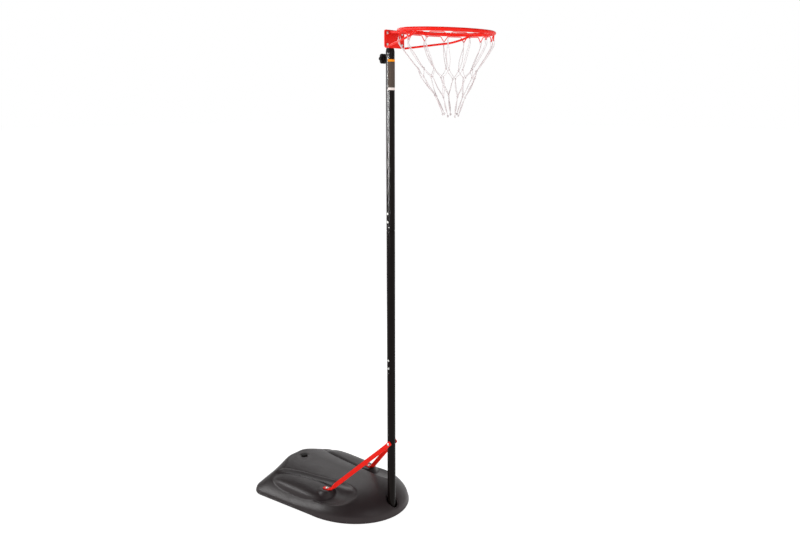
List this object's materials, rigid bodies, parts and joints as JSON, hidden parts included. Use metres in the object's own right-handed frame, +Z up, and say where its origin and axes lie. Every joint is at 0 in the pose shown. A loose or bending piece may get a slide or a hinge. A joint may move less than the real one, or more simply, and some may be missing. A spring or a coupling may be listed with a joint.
{
  "type": "netball goal stand",
  "caption": "Portable netball goal stand: water tank base, sectional pole with two struts, height-sliding head with a clamp knob, braced ring, hooks and a cord net.",
  "frame": {"origin": "on the pole's axis at floor level, on the flat underside of the base", "axes": "+Z up along the pole, +X from the pole towards the ring, so the base reaches back along -X"},
  "size_m": [1.2342, 0.6022, 2.3123],
  "materials": {
    "tank_plastic": "charcoal blow-moulded polyethylene, fine texture",
    "black_plastic": "moulded black, satin",
    "black_paint": "black powder coat, semi-gloss",
    "red_paint": "red powder coat, semi-gloss",
    "zinc": "zinc plated",
    "rubber": "black",
    "label_film": "printed film, orange and white bands",
    "net_cord": "off-white twisted cord"
  },
  "bodies": {
    "stand": {"base_tank": "tank_plastic", "lower_pole": "black_paint", "middle_pole": "black_paint", "upper_pole": "black_paint", "foot_plug": "black_plastic", "lower_joint_bolt_a": "zinc", "lower_joint_bolt_b": "zinc", "lower_joint_nut_a": "zinc", "lower_joint_nut_b": "zinc", "middle_joint_bolt_a": "zinc", "middle_joint_bolt_b": "zinc", "middle_joint_nut_a": "zinc", "middle_joint_nut_b": "zinc", "button_spring": "zinc", "top_bush": "black_plastic", "weld_nut": "black_paint", "label": "label_film", "strut_left": "red_paint", "strut_right": "red_paint", "strut_washer_left": "zinc", "strut_washer_right": "zinc", "strut_screw_left": "zinc", "strut_screw_right": "zinc", "strut_through_bolt": "zinc", "strut_through_nut": "zinc"},
    "head": {"inner_tube": "black_paint", "tube_guide": "black_plastic", "top_cap": "black_plastic", "rim_plate": "red_paint", "saddle_lower": "red_paint", "saddle_upper": "red_paint", "plate_bolt_lower_left": "zinc", "plate_bolt_lower_right": "zinc", "plate_bolt_upper_left": "zinc", "plate_bolt_upper_right": "zinc", "plate_nut_lower_left": "zinc", "plate_nut_lower_right": "zinc", "plate_nut_upper_left": "zinc", "plate_nut_upper_right": "zinc", "ring": "red_paint", "rim_neck": "red_paint", "brace_left": "red_paint", "brace_right": "red_paint", "net_wire": "red_paint", "net": "net_cord"},
    "stud": {"knob_stud": "zinc"},
    "knob": {"clamp_knob": "black_plastic"},
    "seal": {"cap_seal": "rubber"},
    "cap": {"filler_cap": "black_plastic"},
    "button": {"snap_button": "zinc"}
  },
  "joints": [
    {"name": "height_slide", "type": "slide", "parent": "stand", "child": "head", "axis": [0, 0, 1], "range_m": [0, 0.55]},
    {"name": "stud_travel", "type": "slide", "parent": "stand", "child": "stud", "axis": [-1, 0, 0], "range_m": [0, 0.00225]},
    {"name": "knob_turn", "type": "hinge", "parent": "stud", "child": "knob", "pos_m": [-0.04, 0, 2.1945], "axis": [-1, 0, 0], "range_deg": [0, 540]},
    {"name": "seal_lift", "type": "slide", "parent": "stand", "child": "seal", "axis": [0, 0, 1], "range_m": [0, 0.012]},
    {"name": "cap_turn", "type": "hinge", "parent": "seal", "child": "cap", "pos_m": [-0.622, 0, 0.12], "axis": [0, 0, 1], "range_deg": [0, 1080]},
    {"name": "button_press", "type": "slide", "parent": "stand", "child": "button", "axis": [-0.309, 0.9511, 0], "range_m": [0, 0.0035], "stiffness_N_per_m": 800}
  ],
  "couplings": [
    {"joint": "knob_turn", "follows": "stud_travel", "rad_per_m": 4188.8},
    {"joint": "cap_turn", "follows": "seal_lift", "rad_per_m": 1570.8}
  ]
}
